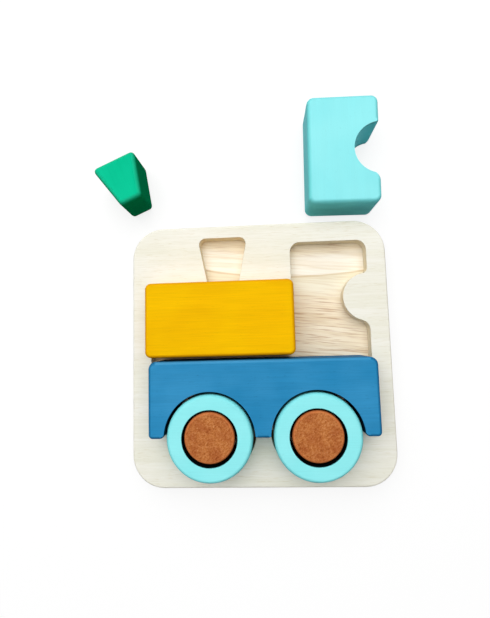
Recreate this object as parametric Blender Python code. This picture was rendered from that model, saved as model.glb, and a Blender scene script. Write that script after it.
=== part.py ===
"""Wooden train puzzle: a two-layer tray with a train-shaped recess and chunky loose blocks.

X runs along the train, from its front at -X to its cab at +X. Y runs from the wheels up to
the chimney, and Z is up. The origin is the centre of the tray's underside. Sizes are in metres.
"""
import math

import bmesh
import bpy
from mathutils import Vector

# Clearances
SEAT_GAP = 0.0003
FIT_GAP = 0.0018
BOILER_GAP = 0.0024
CHIMNEY_GAP = 0.0006
WHEEL_GAP = 0.0017
HUB_GAP = 0.0015
HUB_DRIFT = 0.0005

# Tray: a base board with a pierced frame board glued on top
BASE_THICKNESS = 0.008
FRAME_THICKNESS = 0.008
TRAY_END_BORDER = 0.00865
TRAY_SIDE_BORDER = 0.0133
TRAY_CORNER = 0.022
TRAY_EDGE = 0.0015
RECESS_EDGE = 0.0004

# Blocks: all are cut from boards of one thickness
BLOCK_THICKNESS = 0.028
BLOCK_EDGE = 0.0022

# Wheels and hubs
HUB_RADIUS = 0.0162
HUB_EDGE = 0.0018
RING_WALL = 0.0098
RING_EDGE = 0.0022

# Chassis: a beam with two wheel arches, between a toe at each end and a web in the middle
TOE_WIDTH = 0.01
WEB_WIDTH = 0.0096
BEAM_HEIGHT = 0.0196
CHASSIS_CORNER = 0.005
TOE_CORNER = 0.0027
TOE_LIP = 0.003
WEB_LIP = 0.0012

# Boiler
BOILER_LENGTH = 0.0977
BOILER_HEIGHT = 0.049
BOILER_CORNER = 0.004

# Cab, with a round window scooped out of its rear edge
CAB_WIDTH = 0.049
CAB_HEIGHT = 0.0765
CAB_CORNER = 0.005
WINDOW_RADIUS = 0.0185
WINDOW_DEPTH = 0.0173
WINDOW_TOP_CORNER = 0.002
WINDOW_FOOT_CORNER = 0.005

# Chimney, wider at its top than at its foot
CHIMNEY_TOP = 0.033
CHIMNEY_FOOT = 0.0162
CHIMNEY_LENGTH = 0.033
CHIMNEY_CORNER = 0.003
CHIMNEY_OFFSET = 0.0011

# Spare room in the chimney's recess, on each side of its top and of its foot, and its rounder top corners
CHIMNEY_TOP_ROOM = 0.0004
CHIMNEY_FOOT_ROOM = 0.0021
CHIMNEY_RECESS_CORNER = 0.0042

# Places of the cab and the chimney, taken out and stood on the table behind the tray
CAB_TABLE_X = 0.0619
CAB_TABLE_GAP = 0.0087
CAB_TABLE_TURN = math.radians(-1.1)
CHIMNEY_TABLE_X = -0.0933
CHIMNEY_TABLE_GAP = 0.0166
CHIMNEY_TABLE_TURN = math.radians(23.7)

# Fineness of the round forms
CORNER_STEPS = 6
SCOOP_STEPS = 20
EDGE_STEPS = 3
ROUND_STEPS = 56
CUT_MARGIN = 0.002

# Sizes that follow from those above
BORE_RADIUS = HUB_RADIUS + HUB_GAP
WHEEL_RADIUS = BORE_RADIUS + RING_WALL
ARCH_RADIUS = WHEEL_RADIUS + WHEEL_GAP
WHEEL_SPACING = 2 * ARCH_RADIUS + WEB_WIDTH
CHASSIS_LENGTH = WHEEL_SPACING + 2 * ARCH_RADIUS + 2 * TOE_WIDTH
CHASSIS_HEIGHT = ARCH_RADIUS + BEAM_HEIGHT
FLOOR_Z = BASE_THICKNESS
FRAME_Z = BASE_THICKNESS + SEAT_GAP
TRAY_TOP_Z = FRAME_Z + FRAME_THICKNESS
SEAT_Z = FLOOR_Z + SEAT_GAP


def heading(angle):
    return Vector((math.cos(angle), math.sin(angle)))


# An outline is a closed anticlockwise list of stations: a point, the way out of the wood there,
# and how far the rounding of the block's upper and lower edges reaches there, from 0 to 1.
def arc(centre, radius, start, end, steps, soft_start=1.0, soft_end=1.0):
    hollow = end < start
    stations = []
    for step in range(steps + 1):
        share = step / steps
        spoke = heading(start + (end - start) * share)
        outward = -spoke if hollow else spoke
        soft = soft_start + (soft_end - soft_start) * share
        stations.append((centre + spoke * radius, outward, soft))
    return stations


# The first two corners are the lower ones, which can be rounded less or more than the upper ones.
def rounded_polygon(corners, lower_radius, upper_radius):
    stations = []
    for index, corner in enumerate(corners):
        radius = lower_radius if index < 2 else upper_radius
        arriving = (corner - corners[index - 1]).normalized()
        leaving = (corners[(index + 1) % len(corners)] - corner).normalized()
        bend = math.atan2(arriving.cross(leaving), arriving.dot(leaving))
        start = math.atan2(arriving.y, arriving.x) - math.pi / 2
        inward = Vector((-arriving.y, arriving.x))
        centre = corner - arriving * radius * math.tan(bend / 2) + inward * radius
        stations += arc(centre, radius, start, start + bend, CORNER_STEPS)
    return stations


# A round bite out of a straight edge that runs along the given angle. Its centre lies outside the
# edge by the stand-off, and a small round joins it to the edge on each side.
def scoop(edge_point, along, radius, stand_off, first_corner, last_corner):
    forward = heading(along)
    outward = heading(along - math.pi / 2)
    centre = edge_point + outward * stand_off
    reach_first = math.sqrt((radius + first_corner) ** 2 - (first_corner + stand_off) ** 2)
    reach_last = math.sqrt((radius + last_corner) ** 2 - (last_corner + stand_off) ** 2)
    lean_first = math.atan2(first_corner + stand_off, reach_first)
    lean_last = math.atan2(last_corner + stand_off, reach_last)
    first = arc(edge_point - forward * reach_first - outward * first_corner, first_corner,
                along - math.pi / 2, along - lean_first, CORNER_STEPS, 1.0, 0.0)
    bite = arc(centre, radius, along + math.pi - lean_first, along + lean_last, SCOOP_STEPS, 0.0, 0.0)
    last = arc(edge_point + forward * reach_last - outward * last_corner, last_corner,
               along + math.pi + lean_last, along + 1.5 * math.pi, CORNER_STEPS, 0.0, 1.0)
    return first + bite[1:-1] + last


def rectangle(width, height, run_on=0.0):
    half_width = width / 2
    half_height = height / 2
    return [Vector((-half_width, -half_height - run_on)), Vector((half_width, -half_height - run_on)),
            Vector((half_width, half_height)), Vector((-half_width, half_height))]


def tray_outline(width, height):
    return rounded_polygon(rectangle(width, height), TRAY_CORNER, TRAY_CORNER)


# A run-on carries a recess past the block's lower edge, into the recess of the block below it.
def boiler_outline(run_on=0.0):
    return rounded_polygon(rectangle(BOILER_LENGTH, BOILER_HEIGHT, run_on), BOILER_CORNER, BOILER_CORNER)


def chimney_outline(run_on=0.0, top_room=0.0, foot_room=0.0, top_corner=CHIMNEY_CORNER):
    half_top = CHIMNEY_TOP / 2 + top_room
    half_seat = CHIMNEY_FOOT / 2 + foot_room
    half_foot = half_seat - (half_top - half_seat) / CHIMNEY_LENGTH * run_on
    top = CHIMNEY_LENGTH / 2
    foot = -CHIMNEY_LENGTH / 2 - run_on
    corners = [Vector((-half_foot, foot)), Vector((half_foot, foot)),
               Vector((half_top, top)), Vector((-half_top, top))]
    return rounded_polygon(corners, CHIMNEY_CORNER, top_corner)


def cab_outline(run_on=0.0):
    stations = rounded_polygon(rectangle(CAB_WIDTH, CAB_HEIGHT, run_on), CAB_CORNER, CAB_CORNER)
    lower = 2 * (CORNER_STEPS + 1)
    window = scoop(Vector((CAB_WIDTH / 2, 0.0)), math.pi / 2, WINDOW_RADIUS,
                   WINDOW_RADIUS - WINDOW_DEPTH, WINDOW_FOOT_CORNER, WINDOW_TOP_CORNER)
    return stations[:lower] + window + stations[lower:]


def chassis_outline(arched=True):
    stations = rounded_polygon(rectangle(CHASSIS_LENGTH, CHASSIS_HEIGHT), TOE_CORNER, CHASSIS_CORNER)
    if not arched:
        return stations
    front_end = CORNER_STEPS + 1
    arches = []
    for side, first_lip, last_lip in ((-1, TOE_LIP, WEB_LIP), (1, WEB_LIP, TOE_LIP)):
        foot = Vector((side * WHEEL_SPACING / 2, -CHASSIS_HEIGHT / 2))
        arches += scoop(foot, 0.0, ARCH_RADIUS, 0.0, first_lip, last_lip)
    return stations[:front_end] + arches + stations[front_end:]


def disc_outline(radius):
    return arc(Vector((0.0, 0.0)), radius, 0.0, 2 * math.pi, ROUND_STEPS)[:-1]


# Height and growth of the outline, from the lower face of a block to its upper one
def rounded_foot(low, radius):
    levels = []
    for step in range(EDGE_STEPS + 1):
        angle = math.pi / 2 * step / EDGE_STEPS
        levels.append((low + radius * (1 - math.cos(angle)), radius * (math.sin(angle) - 1)))
    return levels


def rounded_top(high, radius):
    return [(high - height, growth) for height, growth in reversed(rounded_foot(0.0, radius))]


def rounded_block(thickness, radius):
    return rounded_foot(0.0, radius) + rounded_top(thickness, radius)


# Stacks copies of an outline, each at its height and grown by its amount, into one closed body
def stack(name, outline, levels, follow_soft=True):
    bm = bmesh.new()
    loops = []
    for height, growth in levels:
        loop = []
        for point, outward, soft in outline:
            reach = growth * soft if follow_soft else growth
            place = point + outward * reach
            loop.append(bm.verts.new((place.x, place.y, height)))
        loops.append(loop)
    for lower, upper in zip(loops, loops[1:]):
        for index in range(len(outline)):
            after = (index + 1) % len(outline)
            bm.faces.new((lower[index], lower[after], upper[after], upper[index]))
    bm.faces.new(reversed(loops[0]))
    bm.faces.new(loops[-1])
    return finish_mesh(name, bm)


# A turned ring: rounded outside edges, and a plain bore cut through afterwards
def ring_mesh(name):
    bm = bmesh.new()
    profile = [(BORE_RADIUS, BLOCK_THICKNESS), (BORE_RADIUS, 0.0)]
    for height, growth in rounded_block(BLOCK_THICKNESS, RING_EDGE):
        profile.append((WHEEL_RADIUS + growth, height))
    corners = [bm.verts.new((radius, 0.0, height)) for radius, height in profile]
    edges = [bm.edges.new((corner, corners[index - 1])) for index, corner in enumerate(corners)]
    bmesh.ops.spin(bm, geom=corners + edges, cent=(0.0, 0.0, 0.0), axis=(0.0, 0.0, 1.0),
                   angle=2 * math.pi, steps=ROUND_STEPS, use_merge=True)
    bmesh.ops.recalc_face_normals(bm, faces=bm.faces)
    return finish_mesh(name, bm)


def finish_mesh(name, bm):
    mesh = bpy.data.meshes.new(name)
    bm.to_mesh(mesh)
    bm.free()
    mesh.shade_smooth()
    mesh.set_sharp_from_angle(angle=math.radians(40))
    return mesh


def finish(name, colour, roughness):
    material = bpy.data.materials.new(name)
    material.use_nodes = True
    surface = material.node_tree.nodes["Principled BSDF"]
    surface.inputs["Base Color"].default_value = (*colour, 1.0)
    surface.inputs["Roughness"].default_value = roughness
    surface.inputs["Metallic"].default_value = 0.0
    return material


def place(name, mesh, material, location=(0.0, 0.0, 0.0), turn=0.0, parent=None):
    piece = bpy.data.objects.new(name, mesh)
    bpy.context.scene.collection.objects.link(piece)
    mesh.materials.append(material)
    piece.parent = parent
    piece.location = location
    piece.rotation_euler = (0.0, 0.0, turn)
    return piece


# Cuts one recess through the frame board, with an eased upper edge
def cut_recess(frame, name, outline, gap, centre):
    levels = [(FRAME_Z - CUT_MARGIN, gap),
              (TRAY_TOP_Z - RECESS_EDGE, gap),
              (TRAY_TOP_Z + CUT_MARGIN, gap + RECESS_EDGE + CUT_MARGIN)]
    cutter = bpy.data.objects.new(name, stack(name, outline, levels, follow_soft=False))
    bpy.context.scene.collection.objects.link(cutter)
    cutter.location = (centre.x, centre.y, 0.0)
    cutter.hide_render = True
    cutter.display_type = "WIRE"
    cut = frame.modifiers.new(name, "BOOLEAN")
    cut.operation = "DIFFERENCE"
    cut.solver = "EXACT"
    cut.object = cutter


# Centres of the seated blocks, with the chassis at the middle, then moved to centre the recess
def train_layout():
    chassis_top = CHASSIS_HEIGHT / 2
    cab_front = CHASSIS_LENGTH / 2 - CAB_WIDTH
    boiler_x = cab_front - FIT_GAP - BOILER_LENGTH / 2
    boiler_y = chassis_top + BOILER_GAP + BOILER_HEIGHT / 2
    seats = {
        "chassis": Vector((0.0, 0.0)),
        "cab": Vector((cab_front + CAB_WIDTH / 2, chassis_top + FIT_GAP + CAB_HEIGHT / 2)),
        "boiler": Vector((boiler_x, boiler_y)),
        "chimney": Vector((boiler_x + CHIMNEY_OFFSET,
                           boiler_y + BOILER_HEIGHT / 2 + CHIMNEY_GAP + CHIMNEY_LENGTH / 2)),
        "front_wheel": Vector((-WHEEL_SPACING / 2, -CHASSIS_HEIGHT / 2)),
        "rear_wheel": Vector((WHEEL_SPACING / 2, -CHASSIS_HEIGHT / 2)),
    }
    front = min(-CHASSIS_LENGTH / 2, boiler_x - BOILER_LENGTH / 2) - FIT_GAP
    rear = CHASSIS_LENGTH / 2 + FIT_GAP
    top = max(seats["cab"].y + CAB_HEIGHT / 2 + FIT_GAP,
              seats["chimney"].y + CHIMNEY_LENGTH / 2 + CHIMNEY_GAP)
    foot = -CHASSIS_HEIGHT / 2 - ARCH_RADIUS
    middle = Vector(((front + rear) / 2, (top + foot) / 2))
    width = rear - front + 2 * TRAY_SIDE_BORDER
    height = top - foot + 2 * TRAY_END_BORDER
    return {name: seat - middle for name, seat in seats.items()}, width, height


def build_tray(seats, width, height):
    outline = tray_outline(width, height)
    base_levels = rounded_foot(0.0, TRAY_EDGE) + [(BASE_THICKNESS, 0.0)]
    frame_levels = [(FRAME_Z, 0.0)] + rounded_top(TRAY_TOP_Z, TRAY_EDGE)
    place("tray_base_board", stack("tray_base_board", outline, base_levels),
          finish("streaked_wood", (0.78, 0.61, 0.40), 0.55))
    frame = place("tray_frame", stack("tray_frame", outline, frame_levels),
                  finish("pale_wood", (0.87, 0.83, 0.70), 0.5))
    cut_recess(frame, "chassis_recess", chassis_outline(arched=False), FIT_GAP, seats["chassis"])
    cut_recess(frame, "cab_recess", cab_outline(CHASSIS_CORNER + FIT_GAP), FIT_GAP, seats["cab"])
    cut_recess(frame, "boiler_recess", boiler_outline(CHASSIS_CORNER + FIT_GAP), FIT_GAP, seats["boiler"])
    chimney_room = chimney_outline(BOILER_CORNER, CHIMNEY_TOP_ROOM, CHIMNEY_FOOT_ROOM, CHIMNEY_RECESS_CORNER)
    cut_recess(frame, "chimney_recess", chimney_room, CHIMNEY_GAP, seats["chimney"])
    for wheel in ("front_wheel", "rear_wheel"):
        cut_recess(frame, wheel + "_recess", disc_outline(WHEEL_RADIUS), WHEEL_GAP, seats[wheel])


def build_seated_blocks(seats):
    levels = rounded_block(BLOCK_THICKNESS, BLOCK_EDGE)
    place("boiler", stack("boiler", boiler_outline(), levels),
          finish("yellow_paint", (0.90, 0.49, 0.01), 0.4), (*seats["boiler"], SEAT_Z))
    place("chassis", stack("chassis", chassis_outline(), levels),
          finish("blue_paint", (0.03, 0.24, 0.47), 0.4), (*seats["chassis"], SEAT_Z))


# Each hub stands on the recess floor, drifted a little off the axis of the ring that turns round it
def build_wheels(seats):
    hub_levels = rounded_block(BLOCK_THICKNESS, HUB_EDGE)
    hub_finish = finish("brown_pressed_wood", (0.36, 0.13, 0.05), 0.6)
    ring_finish = finish("aqua_wheel_paint", (0.22, 0.80, 0.82), 0.4)
    for end in ("front", "rear"):
        seat = seats[end + "_wheel"]
        hub = place(end + "_hub", stack(end + "_hub", disc_outline(HUB_RADIUS), hub_levels),
                    hub_finish, (seat.x, seat.y + HUB_DRIFT, SEAT_Z))
        place(end + "_wheel_ring", ring_mesh(end + "_wheel_ring"), ring_finish,
              (0.0, -HUB_DRIFT, 0.0), parent=hub)


def build_table_blocks(tray_height):
    levels = rounded_block(BLOCK_THICKNESS, BLOCK_EDGE)
    cab_y = tray_height / 2 + CAB_TABLE_GAP + CAB_HEIGHT / 2
    chimney_y = tray_height / 2 + CHIMNEY_TABLE_GAP + CHIMNEY_LENGTH / 2
    place("cab", stack("cab", cab_outline(), levels), finish("aqua_cab_paint", (0.28, 0.88, 0.90), 0.4),
          (CAB_TABLE_X, cab_y, 0.0), CAB_TABLE_TURN)
    place("chimney", stack("chimney", chimney_outline(), levels),
          finish("green_paint", (0.0, 0.55, 0.29), 0.4),
          (CHIMNEY_TABLE_X, chimney_y, 0.0), CHIMNEY_TABLE_TURN)


def main():
    for leftover in list(bpy.data.objects):
        bpy.data.objects.remove(leftover, do_unlink=True)
    seats, width, height = train_layout()
    build_tray(seats, width, height)
    build_seated_blocks(seats)
    build_wheels(seats)
    build_table_blocks(height)


main()
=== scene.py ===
import math

import bmesh
import bpy
from mathutils import Matrix, Vector


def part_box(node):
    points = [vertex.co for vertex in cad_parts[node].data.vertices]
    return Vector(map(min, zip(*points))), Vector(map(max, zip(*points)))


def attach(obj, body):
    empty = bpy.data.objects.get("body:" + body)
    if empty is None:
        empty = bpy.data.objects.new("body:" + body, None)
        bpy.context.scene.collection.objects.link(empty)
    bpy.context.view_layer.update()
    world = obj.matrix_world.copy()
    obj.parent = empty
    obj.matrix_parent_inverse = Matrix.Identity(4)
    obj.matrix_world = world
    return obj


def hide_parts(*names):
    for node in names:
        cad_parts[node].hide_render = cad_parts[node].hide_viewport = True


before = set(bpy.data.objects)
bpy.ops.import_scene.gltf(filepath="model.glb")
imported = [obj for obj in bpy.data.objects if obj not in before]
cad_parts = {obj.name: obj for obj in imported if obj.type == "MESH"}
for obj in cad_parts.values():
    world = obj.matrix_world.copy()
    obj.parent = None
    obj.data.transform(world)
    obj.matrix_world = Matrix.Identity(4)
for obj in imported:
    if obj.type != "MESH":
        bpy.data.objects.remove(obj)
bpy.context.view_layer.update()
scene = bpy.context.scene
mm = 0.001
meshing = {"cornerSteps": 10, "lipSteps": 8, "scoopSteps": 48, "edgeSteps": 6, "boreSteps": 3, "roundSteps": 128,
           "sharpAngle": math.radians(38), "sameLine": 0.01 * mm, "mergeWithin": 0.001 * mm}
print("frame loaded:", len(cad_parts), "nodes")


# Colours are picked as 8-bit screen values and turned into Blender's linear ones
def paintColour(red, green, blue):
    linear = []
    for value in (red / 255, green / 255, blue / 255):
        linear.append(value / 12.92 if value < 0.04045 else ((value + 0.055) / 1.055) ** 2.4)
    return (*linear, 1.0)


# Outlines: drawn flat with corners, turns and scoops, then rounded and raised into a block
def newOutline():
    bm = bmesh.new()
    bm.verts.layers.float.new("crisp")   # 1 where the block's edge stays sharp
    bm.verts.layers.float.new("rim")     # 1 on the crown of a rounded edge, for its painted shade; -1 where it takes a painted highlight
    bm.verts.layers.float.new("side")    # 1 on an upright wall, for its painted shade
    bm.verts.layers.float.new("gap")     # 1 on a wall of a narrow gap, for its painted shade
    bm.verts.layers.float.new("pale")    # 1 along an edge whose rim takes a painted highlight
    bm.verts.layers.int.new("station")   # place of a vertex along the outline
    return bm


def lastVert(bm):
    bm.verts.ensure_lookup_table()
    return bm.verts[-1]


def lineTo(bm, x, y):
    if not bm.verts:
        return bm.verts.new((x, y, 0))
    end = bmesh.ops.extrude_vert_indiv(bm, verts=[lastVert(bm)])["verts"][0]
    end.co = (x, y, 0)
    return end


def turnAbout(bm, centre, angle, steps, crispFrom, crispTo):
    crisp = bm.verts.layers.float["crisp"]
    before = len(bm.verts)
    bmesh.ops.spin(bm, geom=[lastVert(bm)], cent=(centre.x, centre.y, 0), axis=(0, 0, 1), angle=angle,
                   steps=steps)
    bm.verts.ensure_lookup_table()
    for step, vert in enumerate(bm.verts[before:], 1):
        vert[crisp] = crispFrom + (crispTo - crispFrom) * step / steps


# A round bite out of an edge, with a small round at each of its lips
def scoop(bm, onEdge, along, radius, standOff, firstLip, lastLip):
    lipSteps, quarter = meshing["lipSteps"], math.pi / 2
    forward = Vector((math.cos(along), math.sin(along)))
    outward = Vector((math.sin(along), -math.cos(along)))
    reachFirst = math.sqrt((radius + firstLip) ** 2 - (firstLip + standOff) ** 2)
    reachLast = math.sqrt((radius + lastLip) ** 2 - (lastLip + standOff) ** 2)
    leanFirst = math.atan2(firstLip + standOff, reachFirst)
    leanLast = math.atan2(lastLip + standOff, reachLast)
    start = onEdge - forward * reachFirst
    end = onEdge + forward * reachLast
    lineTo(bm, start.x, start.y)
    turnAbout(bm, start - outward * firstLip, quarter - leanFirst, lipSteps, 0, 1)
    turnAbout(bm, onEdge + outward * standOff, leanFirst + leanLast - math.pi, meshing["scoopSteps"], 1, 1)
    turnAbout(bm, end - outward * lastLip, quarter - leanLast, lipSteps, 1, 0)


# Marks a level edge, with a change from its left end to its right end
def markEdge(bm, layer, edge, shares):
    mark = bm.verts.layers.float[layer]
    for vert in bm.verts:
        if abs(vert.co.y - edge) < meshing["sameLine"]:
            vert[mark] = shares[0] if vert.co.x < 0 else shares[1]
    return bm


# The first two corners are the lower ones
def closeOutline(bm, corners, lowerRadius, upperRadius):
    bm.faces.new(bm.verts)
    for corner, cornerRadius in zip(corners, (lowerRadius, lowerRadius, upperRadius, upperRadius)):
        first, second = [edge.other_vert(corner).co - corner.co for edge in corner.link_edges]
        setback = cornerRadius / math.tan(first.angle(second) / 2)
        bmesh.ops.bevel(bm, geom=[corner], offset=setback, offset_type="OFFSET", affect="VERTICES",
                        segments=meshing["cornerSteps"], profile=0.5, material=-1, clamp_overlap=False)
    return bm


def boxCorners(bm, width, height, runOn=0):
    left, right = -width / 2, width / 2
    return [lineTo(bm, left, -height / 2 - runOn), lineTo(bm, right, -height / 2 - runOn),
            lineTo(bm, right, height / 2), lineTo(bm, left, height / 2)]


# Height, growth and lean of an outline that is raised into a block with rounded edges
def roundedFoot(low, radius, steps=meshing["edgeSteps"]):
    levels = []
    for step in range(steps + 1):
        lean = math.pi / 2 * step / steps
        levels.append((low + radius * (1 - math.cos(lean)), radius * (math.sin(lean) - 1), lean))
    return levels


def roundedTop(high, radius, steps=meshing["edgeSteps"]):
    foot = roundedFoot(0, radius, steps)
    return [(high - height, growth, lean) for height, growth, lean in reversed(foot)]


def roundedBlock(height, radius, steps=meshing["edgeSteps"]):
    return roundedFoot(0, radius, steps) + roundedTop(height, radius, steps)


# Marks of a vertex for the painted shading: rim for the rounded edge (a painted highlight where pale is set),
# side for the walls and gap for narrow gaps
def markWall(bm, vert, lean, inGap, pale=0):
    rim, side, gap = [bm.verts.layers.float[name] for name in ("rim", "side", "gap")]
    vert[rim] = math.sin(2 * lean) * (1 - 2 * pale)
    vert[side] = 1 - math.cos(lean)
    vert[gap] = inGap * (1 - math.cos(lean))


def raiseOutline(bm, levels, heedCrisp=True):
    crisp, gap, pale = [bm.verts.layers.float[name] for name in ("crisp", "gap", "pale")]
    station = bm.verts.layers.int["station"]
    bm.faces.ensure_lookup_table()
    face = bm.faces[0]
    ring = [loop.vert for loop in face.loops]
    spots = []
    for index, vert in enumerate(ring):
        run = (ring[(index + 1) % len(ring)].co - ring[index - 1].co).normalized()
        hold = 1 - vert[crisp] if heedCrisp else 1
        # Sharp edges (the arches, the cab's window) take the gap tone too: painted shade, and painted light on
        # the cab's window
        inGap = max(vert[crisp], vert[gap])
        spots.append((vert.co.copy(), Vector((run.y, -run.x, 0)) * hold, inGap, vert[pale]))
        vert[station] = index
    edges = face.edges[:]
    verts = ring
    for level, (height, growth, lean) in enumerate(levels):
        if level:
            made = bmesh.ops.extrude_edge_only(bm, edges=edges)["geom"]
            verts = [item for item in made if isinstance(item, bmesh.types.BMVert)]
            edges = [item for item in made if isinstance(item, bmesh.types.BMEdge)]
        for vert in verts:
            spot, outward, inGap, highlightMark = spots[vert[station]]
            vert.co = spot + outward * growth + Vector((0, 0, height))
            markWall(bm, vert, lean, inGap, highlightMark)
    bmesh.ops.contextual_create(bm, geom=edges)
    bmesh.ops.recalc_face_normals(bm, faces=bm.faces)
    return bm


# A finished piece: its place goes into the mesh, and its object stays at the origin
def makePiece(name, bm, finish, centre=(0, 0), turn=0, lift=0):
    place = Matrix.Translation((centre[0], centre[1], lift)) @ Matrix.Rotation(turn, 4, "Z")
    bmesh.ops.transform(bm, matrix=place, verts=bm.verts)
    mesh = bpy.data.meshes.new(name)
    bm.to_mesh(mesh)
    bm.free()
    mesh.shade_smooth()
    mesh.set_sharp_from_angle(angle=meshing["sharpAngle"])
    mesh.materials.append(finish)
    piece = bpy.data.objects.new(name, mesh)
    scene.collection.objects.link(piece)
    return piece


# Even shading, then the node that a piece stands for is hidden, and the piece rides on its body
def seat(piece, node, body):
    normals = piece.modifiers.new("evenShading", "WEIGHTED_NORMAL")
    normals.keep_sharp = True
    normals.weight = 100   # large faces decide
    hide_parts(node)
    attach(piece, body)


def middleOf(node):
    low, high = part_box(node)
    return (low + high) / 2


# Nodes of a finish
def newFinish(name):
    finish = bpy.data.materials.new(name)
    finish.use_nodes = True
    return finish, finish.node_tree, finish.node_tree.nodes["Principled BSDF"]


def setSocket(tree, socket, value):
    if isinstance(value, bpy.types.NodeSocket):
        tree.links.new(value, socket)
    else:
        socket.default_value = value


def addNode(tree, kind, settings=None, **sockets):
    made = tree.nodes.new(kind)
    for key, value in (settings or {}).items():
        setattr(made, key, value)
    for key, value in sockets.items():
        setSocket(tree, made.inputs[key], value)
    return made


def ramp(tree, value, stops):
    made = addNode(tree, "ShaderNodeValToRGB", Fac=value)
    bar = made.color_ramp.elements
    while len(bar) < len(stops):
        bar.new(0.5)
    for element, (position, colour) in zip(bar, stops):
        element.position = position
        element.color = colour
    return made.outputs["Color"]


def grey(value):
    return (value, value, value, 1.0)


def mixColour(tree, amount, first, second, blend="MIX"):
    made = addNode(tree, "ShaderNodeMix", {"data_type": "RGBA", "blend_type": blend})
    for index, value in ((0, amount), (6, first), (7, second)):   # the node's sockets for colours
        setSocket(tree, made.inputs[index], value)
    return made.outputs[2]


def multiplied(tree, first, second):
    return mixColour(tree, 1.0, first, second, "MULTIPLY")


def mathNode(tree, operation, first, second=0.0):
    made = addNode(tree, "ShaderNodeMath", {"operation": operation})
    setSocket(tree, made.inputs[0], first)
    setSocket(tree, made.inputs[1], second)
    return made.outputs["Value"]


def axesOf(tree, vector):
    return addNode(tree, "ShaderNodeSeparateXYZ", Vector=vector).outputs


def faceUp(tree):
    normal = addNode(tree, "ShaderNodeNewGeometry").outputs["Normal"]
    return mathNode(tree, "ABSOLUTE", axesOf(tree, normal)["Z"])


def lengthOf(tree, vector):
    return addNode(tree, "ShaderNodeVectorMath", {"operation": "LENGTH"}, Vector=vector).outputs["Value"]


def objectPlace(tree):
    return addNode(tree, "ShaderNodeTexCoord").outputs["Object"]


def grainCoords(tree, centre, turn, size, place=None):
    return addNode(tree, "ShaderNodeMapping", {"vector_type": "TEXTURE"},
                   Vector=objectPlace(tree) if place is None else place,
                   Location=(centre[0], centre[1], 0), Rotation=(0, 0, turn), Scale=size).outputs["Vector"]


# Layers of a grain: each has its size, its noise (detail, roughness and distortion) and its seed,
# and its colours change over its span
def grainLayers(tree, layers, seed=0, centre=(0, 0), turn=0, place=None):
    noises = {}
    for key, layer in layers.items():
        coords = grainCoords(tree, centre, turn + layer.get("turn", 0), layer["size"], place)
        detail, roughness, distortion = layer["noise"]
        noises[key] = addNode(tree, "ShaderNodeTexNoise", {"noise_dimensions": "4D"}, Vector=coords,
                              W=seed + layer["seed"], Scale=1.0, Detail=detail, Roughness=roughness,
                              Distortion=distortion).outputs["Fac"]

    def tint(key, *colours, span="span"):
        return ramp(tree, noises[key], list(zip(layers[key][span], colours)))

    return noises, tint


# Colour, with sheen and relief that follow a layer of the grain
def coatSurface(tree, surface, colour, grain, look, relief=0.15 * mm, sunken=False):
    inLow, onHigh = look["roughness"]
    sheen = ramp(tree, grain, ((0.3, grey(inLow)), (0.7, grey(onHigh))))
    bump = addNode(tree, "ShaderNodeBump", {"invert": sunken}, Strength=look["bump"], Distance=relief,
                   Height=grain)
    tree.links.new(colour, surface.inputs["Base Color"])
    tree.links.new(sheen, surface.inputs["Roughness"])
    tree.links.new(bump.outputs["Normal"], surface.inputs["Normal"])
    surface.inputs["Specular IOR Level"].default_value = look["gloss"]


# Painted shading: the edge tone on the rounded edges is painted shade, or a painted highlight where it is paler;
# the deeper tone on the walls and the gap tone in narrow gaps are painted shade (on the cab's window wall,
# painted light)
def shadedRimsAndWalls(tree, colour, look):
    rim, side, gap = [addNode(tree, "ShaderNodeAttribute", {"attribute_name": name}).outputs["Fac"]
                      for name in ("rim", "side", "gap")]
    edged = mixColour(tree, mathNode(tree, "MULTIPLY", rim, look["edgeShare"]), colour, look["edge"])
    if "rimHighlight" in look:   # a painted highlight on the rim
        edged = mixColour(tree, mathNode(tree, "MULTIPLY", rim, -look["rimHighlightShare"]), edged, look["rimHighlight"])
    deepened = mixColour(tree, side, edged, multiplied(tree, edged, look["side"]))
    return mixColour(tree, gap, deepened, look["gap"])


# Paint that lets the wood's grain show through
paintGrain = {"fibres": {"size": (26 * mm, 0.7 * mm, 0.7 * mm), "noise": (4, 0.6, 0.2), "seed": 0,
                         "span": (0.38, 0.6)},
              "figure": {"size": (90 * mm, 7 * mm, 7 * mm), "noise": (3, 0.5, 0.5), "seed": 3,
                         "span": (0.42, 0.58)},
              "clouds": {"size": (35 * mm, 28 * mm, 28 * mm), "noise": (2, 0.5, 0), "seed": 7,
                         "span": (0.35, 0.65)},
              "pores": {"size": (2.6 * mm, 0.45 * mm, 0.45 * mm), "noise": (1, 0.5, 0), "seed": 12,
                        "span": (0.66, 0.74)}}


def paintedWood(name, look, centre, turn=0):
    finish, tree, surface = newFinish(name)
    noises, tint = grainLayers(tree, paintGrain, look["seed"], centre, turn)
    tone = mixColour(tree, tint("clouds", grey(0), grey(1)), look["deep"], look["light"])
    lined = multiplied(tree, tone, tint("fibres", grey(1 - look["grain"]), grey(1)))
    banded = multiplied(tree, lined, tint("figure", grey(1 - look["figure"]), grey(1)))
    pricked = multiplied(tree, banded, tint("pores", grey(1), grey(1 - look["pores"])))
    coatSurface(tree, surface, shadedRimsAndWalls(tree, pricked, look), noises["fibres"], look)
    return finish


# Bare board with a close, very faint grain
paleGrain = {"fibres": {"size": (20 * mm, 1 * mm, 1 * mm), "noise": (4, 0.6, 0.3), "seed": 1,
                        "span": (0.36, 0.58)},
             "figure": {"size": (130 * mm, 9 * mm, 9 * mm), "noise": (3, 0.5, 0.4), "seed": 4,
                        "span": (0.38, 0.62)},
             "ticks": {"size": (7 * mm, 0.5 * mm, 0.5 * mm), "noise": (2, 0.5, 0.1), "seed": 8,
                       "span": (0.6, 0.7), "turn": math.radians(-2)}}


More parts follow.
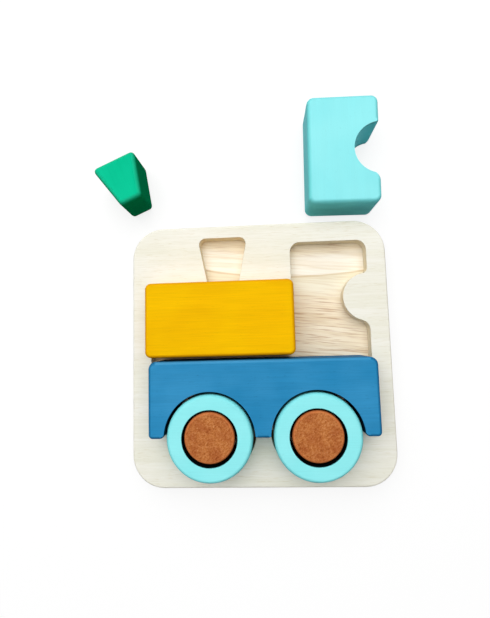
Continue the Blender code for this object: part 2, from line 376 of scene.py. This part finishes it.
def paleBoard(name, look):
    finish, tree, surface = newFinish(name)
    noises, tint = grainLayers(tree, paleGrain)
    tone = mixColour(tree, tint("figure", grey(0), grey(1)), look["warm"], look["pale"])
    ticked = multiplied(tree, tint("fibres", look["line"], grey(1)), tint("ticks", grey(1), look["tick"]))
    wall, face = look["sawnSpan"]
    sawn = ramp(tree, faceUp(tree), ((wall, look["sawn"]), (face, grey(1))))
    coat = multiplied(tree, multiplied(tree, tone, ticked), sawn)
    coatSurface(tree, surface, coat, noises["fibres"], look)
    return finish


# Bare board with growth bands across it, and brown streaks that lean a little
streakGrain = {"patches": {"size": (55 * mm, 5 * mm, 5 * mm), "noise": (3, 0.55, 0.2), "seed": 11,
                           "span": (0.36, 0.62)},
               "streaks": {"size": (19 * mm, 0.78 * mm, 0.78 * mm), "noise": (2, 0.5, 0.1), "seed": 5,
                           "span": (0.53, 0.66)},
               "hairs": {"size": (50 * mm, 1.5 * mm, 1.5 * mm), "noise": (2, 0.6, 0.1), "seed": 17,
                         "span": (0.42, 0.5)}}
streakBend = {"wander": {"size": (38 * mm, 9 * mm, 9 * mm), "noise": (2, 0.5, 0), "seed": 2}}


# Painted shade on the floor in the narrow gaps: a line between boiler and chassis, and an arc at the foot of the
# wall round each wheel
def shadeFloorGaps(tree, coat, look, wheelAxes):
    noDepth = 1000   # a size that takes height out of the pattern
    spot = axesOf(tree, grainCoords(tree, look["at"], 0, (look["length"] / 2, look["width"] / 2, noDepth)))
    lengthways = ramp(tree, mathNode(tree, "ABSOLUTE", spot["X"]), ((look["ends"], grey(1)), (1.0, grey(0))))
    crossways = ramp(tree, mathNode(tree, "ABSOLUTE", spot["Y"]), ((look["sides"], grey(1)), (1.0, grey(0))))
    coat = mixColour(tree, mathNode(tree, "MULTIPLY", lengthways, crossways), coat, look["lineShade"])
    arcStops = [radius / look["reach"] for radius in look["arc"]]
    for axis in wheelAxes:
        fromAxis = grainCoords(tree, axis, 0, (look["reach"], look["reach"], noDepth))
        line = ramp(tree, lengthOf(tree, fromAxis), list(zip(arcStops, (grey(0), grey(1), grey(1), grey(0)))))
        below = mathNode(tree, "LESS_THAN", axesOf(tree, fromAxis)["Y"], look["arcEnd"] / look["reach"])
        coat = mixColour(tree, mathNode(tree, "MULTIPLY", line, below), coat, look["tone"])
    return coat


def streakedBoard(name, look, wheelAxes):
    finish, tree, surface = newFinish(name)
    wander = grainLayers(tree, streakBend)[0]["wander"]
    shift = mathNode(tree, "MULTIPLY", mathNode(tree, "SUBTRACT", wander, 0.5), look["waviness"])
    bend = addNode(tree, "ShaderNodeVectorMath", {"operation": "ADD"})
    setSocket(tree, bend.inputs[0], objectPlace(tree))
    setSocket(tree, bend.inputs[1], addNode(tree, "ShaderNodeCombineXYZ", Y=shift).outputs["Vector"])
    bent = bend.outputs["Vector"]
    noises, tint = grainLayers(tree, streakGrain, turn=look["slant"], place=bent)
    flat = axesOf(tree, bent)
    fromBow = mathNode(tree, "ABSOLUTE", mathNode(tree, "SUBTRACT", flat["X"], look["bowCentre"]))
    rise = mathNode(tree, "MULTIPLY", mathNode(tree, "POWER", fromBow, 2.0), look["bow"])
    across = mathNode(tree, "SUBTRACT", flat["Y"], rise)
    share = mathNode(tree, "ADD", mathNode(tree, "DIVIDE", across, look["bandSpan"]), 0.5)
    tones, amounts = [], []
    for spot, tone, amount in look["bands"]:
        tones.append((0.5 + spot / look["bandSpan"], tone))
        amounts.append((0.5 + spot / look["bandSpan"], grey(amount)))
    ground, dense = ramp(tree, share, tones), ramp(tree, share, amounts)
    mottled = multiplied(tree, ground, tint("patches", look["patch"], grey(1)))
    haired = multiplied(tree, mottled, tint("hairs", look["hair"], grey(1)))
    lines = mathNode(tree, "MULTIPLY", tint("streaks", grey(0), grey(1)), dense)
    onFaces = mathNode(tree, "MULTIPLY", lines, faceUp(tree))   # none on the board's sawn edge
    streaked = mixColour(tree, onFaces, haired, look["streak"])
    fromSeam = mathNode(tree, "ABSOLUTE", mathNode(tree, "SUBTRACT", across, look["seamAt"]))
    seamShare = mathNode(tree, "DIVIDE", fromSeam, look["seamWidth"])
    seam = ramp(tree, seamShare, ((look["seamCore"], look["seam"]), (1.0, grey(1))))
    coat = shadeFloorGaps(tree, multiplied(tree, streaked, seam), look["floorShade"], wheelAxes)
    coatSurface(tree, surface, coat, noises["streaks"], look, sunken=True)
    return finish


# Pressed wood: chips and dust of several browns
chipGrain = {"chips": {"size": (1.7 * mm, 1.2 * mm, 1.4 * mm), "noise": (5, 0.66, 0.3), "seed": 0,
                       "span": (0.33, 0.48, 0.66), "turn": 0.5},
             "dust": {"size": (0.55 * mm, 0.55 * mm, 0.55 * mm), "noise": (3, 0.6, 0), "seed": 2,
                      "span": (0.35, 0.6)},
             "stains": {"size": (7 * mm, 7 * mm, 7 * mm), "noise": (2, 0.5, 0), "seed": 5,
                        "span": (0.35, 0.65)},
             "flecks": {"size": (1.1 * mm, 0.8 * mm, 0.9 * mm), "noise": (1, 0.5, 0), "seed": 9,
                        "span": (0.67, 0.76), "pitSpan": (0.24, 0.33), "turn": 0.3}}


def pressedWood(name, look, centre, seed):
    finish, tree, surface = newFinish(name)
    noises, tint = grainLayers(tree, chipGrain, seed, centre)
    faint, strong = look["dust"]
    browns = tint("chips", look["dark"], look["brown"], look["light"])
    dusted = multiplied(tree, browns, tint("dust", grey(faint), grey(strong)))
    stained = multiplied(tree, dusted, tint("stains", look["stain"], grey(1)))
    pitted = multiplied(tree, stained, tint("flecks", look["pit"], grey(1), span="pitSpan"))
    flecked = mixColour(tree, tint("flecks", grey(0), grey(look["fleckShare"])), pitted, look["fleck"])
    coatSurface(tree, surface, shadedRimsAndWalls(tree, flecked, look), noises["chips"], look, look["relief"])
    return finish


# Blocks: the cab and the chimney have softer edges
block = {"thickness": 28 * mm, "edge": 2.2 * mm, "softEdge": 2.8 * mm, "seatHeight": 8.3 * mm}
blockLevels = roundedBlock(block["thickness"], block["edge"])
softLevels = roundedBlock(block["thickness"], block["softEdge"])

boiler = {"length": 97.7 * mm, "height": 49 * mm, "corner": 4 * mm, "gapShadeShares": (0.7, 0.7),
          "paint": {"deep": paintColour(245, 185, 1), "light": paintColour(251, 195, 1),
                    "grain": 0.07, "figure": 0.04, "pores": 0.1,
                    # edge, side and gap: painted shade on the rounded edges, the walls and the wall over the gap
                    # to the chassis
                    "edge": paintColour(222, 148, 6), "edgeShare": 0.65, "side": (0.88, 0.8, 0.7, 1.0),
                    "gap": paintColour(150, 100, 4), "roughness": (0.6, 0.5), "gloss": 0.02, "bump": 0.12,
                    "seed": 1}}


def boilerOutline(runOn=0):
    bm = newOutline()
    corners = boxCorners(bm, boiler["length"], boiler["height"], runOn)
    return closeOutline(bm, corners, boiler["corner"], boiler["corner"])


boilerAt = middleOf("boiler")
# Painted shade on the boiler's lower wall, over the gap to the chassis
boilerShape = markEdge(boilerOutline(), "gap", -boiler["height"] / 2, boiler["gapShadeShares"])
boilerBlock = makePiece("boilerBlock", raiseOutline(boilerShape, blockLevels),
                        paintedWood("yellowPaint", boiler["paint"], boilerAt), boilerAt, 0, block["seatHeight"])
seat(boilerBlock, "boiler", "boiler")
print("boiler built")

wheel = {"hubRadius": 16.2 * mm, "hubEdge": 1.8 * mm, "bore": 17.7 * mm, "radius": 27.5 * mm, "edge": 2.2 * mm,
         "boreEdge": 0.4 * mm, "arch": 29.2 * mm, "spacing": 68 * mm,
         "paint": {"deep": paintColour(144, 239, 242), "light": paintColour(154, 244, 247),
                   "grain": 0.03, "figure": 0.015, "pores": 0.05,
                   # edge, side and gap: painted shade on the rounded edges, the walls and in the bore
                   "edge": paintColour(110, 214, 220), "edgeShare": 0.4, "side": (0.47, 0.72, 0.73, 1.0),
                   "gap": paintColour(4, 20, 22), "roughness": (0.6, 0.5), "gloss": 0.02, "bump": 0.06,
                   "seed": 21},
         "hub": {"dark": paintColour(157, 83, 39), "brown": paintColour(195, 119, 62),
                 "light": paintColour(214, 145, 90), "dust": (0.8, 1.05), "stain": (0.79, 0.65, 0.62, 1.0),
                 "pit": (0.55, 0.45, 0.42, 1.0), "fleck": paintColour(226, 158, 104), "fleckShare": 0.6,
                 # edge: a paler, more orange rim, partly a painted highlight; side and gap: painted shade, near
                 # black, on the hub's wall
                 "edge": paintColour(232, 136, 78), "edgeShare": 0.7, "side": (0.7, 0.6, 0.5, 1.0),
                 "gap": paintColour(24, 10, 4), "roughness": (0.72, 0.55), "gloss": 0.03, "bump": 0.25,
                 "relief": 0.2 * mm, "seeds": {"front": 10, "rear": 9}}}

chassis = {"length": 146.4 * mm, "height": 48.8 * mm, "corner": 5 * mm, "toeCorner": 2.7 * mm,
           "toeLip": 3 * mm, "webLip": 1.2 * mm, "gapShadeShares": (0.5, 0.2), "highlightRimShares": (1, 0.75),
           "paint": {"deep": paintColour(41, 136, 187), "light": paintColour(57, 148, 199),
                     "grain": 0.08, "figure": 0.03, "pores": 0.16,
                     # edge, side and gap: painted shade on the rounded edges, the walls, the arches and the wall
                     # under the boiler; the pale blue on the top rim is a painted highlight
                     "edge": paintColour(14, 94, 138), "edgeShare": 0.7, "side": (0.6, 0.72, 0.8, 1.0),
                     "rimHighlight": paintColour(104, 184, 226), "rimHighlightShare": 0.42,
                     "gap": paintColour(4, 32, 50), "roughness": (0.6, 0.5), "gloss": 0.02, "bump": 0.12,
                     "seed": 11}}


def chassisOutline(arched=True):
    bm = newOutline()
    left, right, foot = -chassis["length"] / 2, chassis["length"] / 2, -chassis["height"] / 2
    corners = [lineTo(bm, left, foot)]
    if arched:
        toeLip, webLip = chassis["toeLip"], chassis["webLip"]
        for side, firstLip, lastLip in ((-1, toeLip, webLip), (1, webLip, toeLip)):
            scoop(bm, Vector((side * wheel["spacing"] / 2, foot)), 0, wheel["arch"], 0, firstLip, lastLip)
    corners += [lineTo(bm, right, foot), lineTo(bm, right, -foot), lineTo(bm, left, -foot)]
    return closeOutline(bm, corners, chassis["toeCorner"], chassis["corner"])


chassisAt = middleOf("chassis")
# Painted shade on the chassis' top wall under the boiler, lighter to the right, and a painted highlight on its
# top rim
chassisShape = markEdge(chassisOutline(), "gap", chassis["height"] / 2, chassis["gapShadeShares"])
chassisShape = markEdge(chassisShape, "pale", chassis["height"] / 2, chassis["highlightRimShares"])
chassisBlock = makePiece("chassisBlock", raiseOutline(chassisShape, blockLevels),
                         paintedWood("bluePaint", chassis["paint"], chassisAt), chassisAt, 0, block["seatHeight"])
seat(chassisBlock, "chassis", "chassis")
print("chassis built")

cab = {"width": 49 * mm, "height": 76.5 * mm, "corner": 5 * mm, "window": 18.5 * mm, "windowDepth": 17.3 * mm,
       "footLip": 5 * mm, "topLip": 2 * mm, "tablePlace": (61.9 * mm, 137.4 * mm),
       "tableTurn": math.radians(-1.1),
       "paint": {"deep": paintColour(142, 235, 239), "light": paintColour(150, 239, 242),
                 "grain": 0.012, "figure": 0.02, "pores": 0.07,
                 # edge and side: painted shade on the rounded edges and the walls; gap: painted light, a paler
                 # tone on the window's wall
                 "edge": paintColour(96, 204, 203), "edgeShare": 0.5, "side": (0.55, 0.92, 0.96, 1.0),
                 "gap": paintColour(120, 248, 255), "roughness": (0.55, 0.45), "gloss": 0.04, "bump": 0.08,
                 "seed": 14}}


def cabOutline(runOn=0):
    bm = newOutline()
    half, top = cab["width"] / 2, cab["height"] / 2
    corners = [lineTo(bm, -half, -top - runOn), lineTo(bm, half, -top - runOn)]
    scoop(bm, Vector((half, 0)), math.pi / 2, cab["window"], cab["window"] - cab["windowDepth"],
          cab["footLip"], cab["topLip"])
    corners += [lineTo(bm, half, top), lineTo(bm, -half, top)]
    return closeOutline(bm, corners, cab["corner"], cab["corner"])


upright = math.pi / 2   # the grain of the cab and the chimney runs up them
cabPaint = paintedWood("aquaCabPaint", cab["paint"], cab["tablePlace"], cab["tableTurn"] + upright)
cabBlock = makePiece("cabBlock", raiseOutline(cabOutline(), softLevels), cabPaint,
                     cab["tablePlace"], cab["tableTurn"])
seat(cabBlock, "cab", "cab")
print("cab built")

chimney = {"top": 33 * mm, "foot": 16.2 * mm, "length": 33 * mm, "corner": 3 * mm,
           "topRoom": 0.4 * mm, "footRoom": 2.1 * mm, "recessCorner": 4.2 * mm,
           "tablePlace": (-93.3 * mm, 123.55 * mm), "tableTurn": math.radians(23.7),
           "paint": {"deep": paintColour(10, 194, 145), "light": paintColour(16, 201, 153),
                     "grain": 0.035, "figure": 0.02, "pores": 0.08,
                     # edge: a painted highlight on the rounded edges; side: painted shade on the walls; gap is
                     # painted shade, though no wall of the chimney carries the gap mark
                     "edge": paintColour(52, 186, 146), "edgeShare": 0.35, "side": (0.1, 0.47, 0.33, 1.0),
                     "gap": paintColour(0, 100, 66), "roughness": (0.6, 0.5), "gloss": 0.0, "bump": 0.1,
                     "seed": 30}}


def chimneyOutline(topCorner, runOn=0, topRoom=0, footRoom=0):
    bm = newOutline()
    top, foot = chimney["top"] / 2 + topRoom, chimney["foot"] / 2 + footRoom
    foot -= (top - foot) / chimney["length"] * runOn
    low, high = -chimney["length"] / 2 - runOn, chimney["length"] / 2
    corners = [lineTo(bm, -foot, low), lineTo(bm, foot, low), lineTo(bm, top, high), lineTo(bm, -top, high)]
    return closeOutline(bm, corners, chimney["corner"], topCorner)


chimneyPaint = paintedWood("greenPaint", chimney["paint"], chimney["tablePlace"], chimney["tableTurn"] + upright)
chimneyBlock = makePiece("chimneyBlock", raiseOutline(chimneyOutline(chimney["corner"]), softLevels),
                         chimneyPaint, chimney["tablePlace"], chimney["tableTurn"])
seat(chimneyBlock, "chimney", "chimney")
print("chimney built")


# Wheels: rings and hubs are turned on a lathe
def turned(profile):
    bm = newOutline()
    for radius, height, lean, inGap in profile:
        vert = lineTo(bm, radius, 0)
        vert.co.z = height
        markWall(bm, vert, lean, inGap)
    bmesh.ops.spin(bm, geom=bm.verts[:] + bm.edges[:], cent=(0, 0, 0), axis=(0, 0, 1), angle=2 * math.pi,
                   steps=meshing["roundSteps"], use_merge=True)
    bmesh.ops.remove_doubles(bm, verts=bm.verts, dist=meshing["mergeWithin"])
    bmesh.ops.recalc_face_normals(bm, faces=bm.faces)
    return bm


thickness = block["thickness"]
boreLevels = roundedBlock(thickness, wheel["boreEdge"], meshing["boreSteps"])
# The bore and the hub's wall carry the gap mark, a painted shade; the tread does not
bore = [(wheel["bore"] - growth, height, lean, 1) for height, growth, lean in reversed(boreLevels)]
treadLevels = roundedBlock(thickness, wheel["edge"])
tread = [(wheel["radius"] + growth, height, lean, 0) for height, growth, lean in treadLevels]
discLevels = roundedBlock(thickness, wheel["hubEdge"])
disc = [(wheel["hubRadius"] + growth, height, lean, 1) for height, growth, lean in discLevels]
for end in ("front", "rear"):
    ringAt, hubAt = middleOf(end + "_wheel_ring"), middleOf(end + "_hub")
    ring = makePiece(end + "Ring", turned(bore + tread + bore[:1]),
                     paintedWood(end + "AquaPaint", wheel["paint"], ringAt), ringAt, 0, block["seatHeight"])
    seat(ring, end + "_wheel_ring", end + "_wheel")
    hubWood = pressedWood(end + "PressedWood", wheel["hub"], hubAt, wheel["hub"]["seeds"][end])
    hub = makePiece(end + "Hub", turned([(0, 0, 0, 1)] + disc + [(0, thickness, 0, 1)]), hubWood,
                    hubAt, 0, block["seatHeight"])
    seat(hub, end + "_hub", end + "_hub")
print("wheels built")

# Tray: a base board, and a frame board pierced with the outline of the train
tray = {"width": 178.7 * mm, "height": 180.9 * mm, "corner": 22 * mm, "edge": 1.5 * mm, "baseTop": 8 * mm,
        "frameLow": 8.3 * mm, "frameTop": 16.3 * mm, "fitGap": 1.8 * mm, "chimneyGap": 0.6 * mm,
        "wheelGap": 1.7 * mm, "rim": 0.4 * mm, "rimBend": 0.3, "margin": 2 * mm,
        "cabSeat": (49.75 * mm, 36.25 * mm), "chimneySeat": (-24.3 * mm, 64.7 * mm),
        "frameWood": {"pale": paintColour(246, 244, 233), "warm": paintColour(241, 239, 224),
                      "line": (0.95, 0.945, 0.92, 1.0), "tick": (0.9, 0.87, 0.8, 1.0),
                      "sawn": (0.93, 0.86, 0.74, 1.0), "sawnSpan": (0.1, 0.75),
                      "roughness": (0.62, 0.5), "gloss": 0.03, "bump": 0.12},
        "baseWood": {"streak": paintColour(196, 160, 126), "patch": (0.95, 0.92, 0.88, 1.0),
                     "hair": (0.93, 0.9, 0.85, 1.0), "roughness": (0.5, 0.64), "gloss": 0.03, "bump": 0.15,
                     # Painted shade on the recess floor in the narrow gaps, by the wheels' walls and between
                     # boiler and chassis
                     "floorShade": {"tone": paintColour(112, 86, 60), "lineShade": paintColour(186, 160, 126),
                                  "arcEnd": -1.8 * mm, "at": (-28.5 * mm, -2.6 * mm),
                                  "length": 103 * mm, "width": 5 * mm, "ends": 0.93, "sides": 0.55,
                                  "reach": 40 * mm, "arc": (26.6 * mm, 27.8 * mm, 30 * mm, 30.8 * mm)},
                     "seam": (0.84, 0.76, 0.66, 1.0), "seamAt": 53.3 * mm, "seamWidth": 1.1 * mm,
                     "seamCore": 0.25, "waviness": 1.6 * mm, "slant": math.radians(-6),
                     "bow": 1.5, "bowCentre": 32 * mm, "bandSpan": 200 * mm,
                     # Bands: places across the board, from its middle, with tone and streaking
                     "bands": [(-80 * mm, paintColour(244, 231, 208), 0.7),
                               (-30 * mm, paintColour(246, 233, 209), 0.8),
                               (14 * mm, paintColour(248, 236, 212), 0.8),
                               (34 * mm, paintColour(248, 236, 212), 0.7),
                               (44 * mm, paintColour(246, 240, 219), 0.15),
                               (53.2 * mm, paintColour(243, 236, 213), 0.12),
                               (53.4 * mm, paintColour(254, 250, 237), 0.12),
                               (67 * mm, paintColour(254, 248, 233), 0.15),
                               (71 * mm, paintColour(250, 238, 212), 0.5),
                               (90 * mm, paintColour(248, 236, 210), 0.6)]}}


def trayOutline():
    bm = newOutline()
    return closeOutline(bm, boxCorners(bm, tray["width"], tray["height"]), tray["corner"], tray["corner"])


def discOutline(radius):
    bm = newOutline()
    bmesh.ops.create_circle(bm, cap_ends=True, radius=radius, segments=meshing["roundSteps"])
    return bm


def cutRecess(board, name, outline, gap, centre):
    top, rim, bend, margin = tray["frameTop"], tray["rim"], tray["rimBend"] * tray["rim"], tray["margin"]
    levels = [(tray["frameLow"] - margin, gap, 0), (top - rim, gap, 0), (top - bend, gap + bend, 0),
              (top, gap + rim, 0), (top + margin, gap + rim + margin, 0)]
    cutter = makePiece(name, raiseOutline(outline, levels, heedCrisp=False), board.data.materials[0], centre)
    cut = board.modifiers.new(name, "BOOLEAN")
    cut.operation = "DIFFERENCE"
    cut.solver = "EXACT"
    cut.object = cutter
    return cutter


wheelAxes = [middleOf("front_wheel_ring"), middleOf("rear_wheel_ring")]
baseLevels = roundedFoot(0, tray["edge"]) + [(tray["baseTop"], 0, 0)]
trayBase = makePiece("trayBase", raiseOutline(trayOutline(), baseLevels),
                     streakedBoard("streakedWood", tray["baseWood"], wheelAxes))
seat(trayBase, "tray_base_board", "tray")

frameLevels = [(tray["frameLow"], 0, 0)] + roundedTop(tray["frameTop"], tray["edge"])
trayFrame = makePiece("trayFrame", raiseOutline(trayOutline(), frameLevels),
                      paleBoard("paleWood", tray["frameWood"]))
runOn = chassis["corner"] + tray["fitGap"]
chimneyRoom = chimneyOutline(chimney["recessCorner"], boiler["corner"], chimney["topRoom"], chimney["footRoom"])
recesses = [("chassisRecess", chassisOutline(arched=False), tray["fitGap"], chassisAt),
            ("cabRecess", cabOutline(runOn), tray["fitGap"], tray["cabSeat"]),
            ("boilerRecess", boilerOutline(runOn), tray["fitGap"], boilerAt),
            ("chimneyRecess", chimneyRoom, tray["chimneyGap"], tray["chimneySeat"]),
            ("frontWheelRecess", discOutline(wheel["radius"]), tray["wheelGap"], wheelAxes[0]),
            ("rearWheelRecess", discOutline(wheel["radius"]), tray["wheelGap"], wheelAxes[1])]
cutters = [cutRecess(trayFrame, *recess) for recess in recesses]
pierced = bpy.data.meshes.new_from_object(trayFrame.evaluated_get(bpy.context.evaluated_depsgraph_get()))
trayFrame.modifiers.clear()
trayFrame.data = pierced
pierced.set_sharp_from_angle(angle=meshing["sharpAngle"])
for cutter in cutters:
    bpy.data.objects.remove(cutter)
seat(trayFrame, "tray_frame", "tray")
print("tray built:", len(pierced.polygons), "faces in the frame board")

# Stage: a pale floor that shows white to the camera and keeps a soft shadow
stage = {"floorSize": 6.0, "floorLevel": -0.2 * mm, "bounce": 0.3, "shadowShare": 0.22,
         "glow": 0.8, "glowNear": 0.35, "glowFar": 1.2, "world": 0.1,
         "softbox": {"size": 2.0, "power": 24.4, "place": (-0.1, 0.5, 1.1)},
         "window": {"size": 1.4, "power": 3.0, "place": (-0.4, 0.9, 1.3)}}

bm = bmesh.new()
bmesh.ops.create_grid(bm, x_segments=1, y_segments=1, size=stage["floorSize"] / 2)
floorFinish, tree, surface = newFinish("paleFloor")
tree.nodes.remove(surface)
path = addNode(tree, "ShaderNodeLightPath").outputs
seen = mathNode(tree, "MAXIMUM", mathNode(tree, "MAXIMUM", path["Is Camera Ray"], path["Is Glossy Ray"]),
                path["Is Transmission Ray"])
table = addNode(tree, "ShaderNodeBsdfDiffuse", Color=grey(stage["bounce"])).outputs["BSDF"]
shadowed = addNode(tree, "ShaderNodeBsdfDiffuse", Color=grey(stage["shadowShare"])).outputs["BSDF"]
fadeRange = {"From Min": stage["glowNear"], "From Max": stage["glowFar"], "To Min": stage["glow"], "To Max": 1.0}
fade = addNode(tree, "ShaderNodeMapRange", Value=lengthOf(tree, objectPlace(tree)), **fadeRange).outputs["Result"]
glow = addNode(tree, "ShaderNodeEmission", Color=grey(1), Strength=fade).outputs["Emission"]
white = addNode(tree, "ShaderNodeAddShader")
tree.links.new(shadowed, white.inputs[0])
tree.links.new(glow, white.inputs[1])
pick = addNode(tree, "ShaderNodeMixShader", Fac=seen)
tree.links.new(table, pick.inputs[1])
tree.links.new(white.outputs["Shader"], pick.inputs[2])
tree.links.new(pick.outputs["Shader"], tree.nodes["Material Output"].inputs["Surface"])
floor = makePiece("floor", bm, floorFinish, (0, 0), 0, stage["floorLevel"])

world = bpy.data.worlds.new("studio")
scene.world = world
world.use_nodes = True
sky = world.node_tree
path = addNode(sky, "ShaderNodeLightPath").outputs
seen = mathNode(sky, "MAXIMUM", path["Is Camera Ray"], path["Is Transmission Ray"])
strength = mathNode(sky, "ADD", stage["world"], mathNode(sky, "MULTIPLY", seen, 1 - stage["world"]))
backdrop = sky.nodes["Background"]
backdrop.inputs["Color"].default_value = grey(1)
sky.links.new(strength, backdrop.inputs["Strength"])

for name in ("softbox", "window"):
    lamp = bpy.data.lights.new(name, "AREA")
    lamp.size = stage[name]["size"]
    lamp.energy = stage[name]["power"]
    lampObject = bpy.data.objects.new(name, lamp)
    lampObject.location = stage[name]["place"]
    lampObject.rotation_euler = (-Vector(stage[name]["place"])).to_track_quat("-Z", "Y").to_euler()
    scene.collection.objects.link(lampObject)

# Camera: close above the tray and tilted a little, as in the photograph
camera = {"focalPixels": 352.415, "imageHeight": 618, "sensor": 36.0, "clip": (0.005, 20),
          "place": (3.986 * mm, 9.231 * mm, 261.708 * mm), "turn": (0.08405, 0.05648, -0.02748)}
lens = bpy.data.cameras.new("camera")
lens.sensor_width = camera["sensor"]
lens.lens = camera["focalPixels"] / camera["imageHeight"] * camera["sensor"]
lens.clip_start, lens.clip_end = camera["clip"]
cameraObject = bpy.data.objects.new("camera", lens)
cameraObject.location = camera["place"]
cameraObject.rotation_euler = camera["turn"]
scene.collection.objects.link(cameraObject)
scene.camera = cameraObject
scene.view_settings.view_transform = "Standard"
print("stage, lamps and camera set")
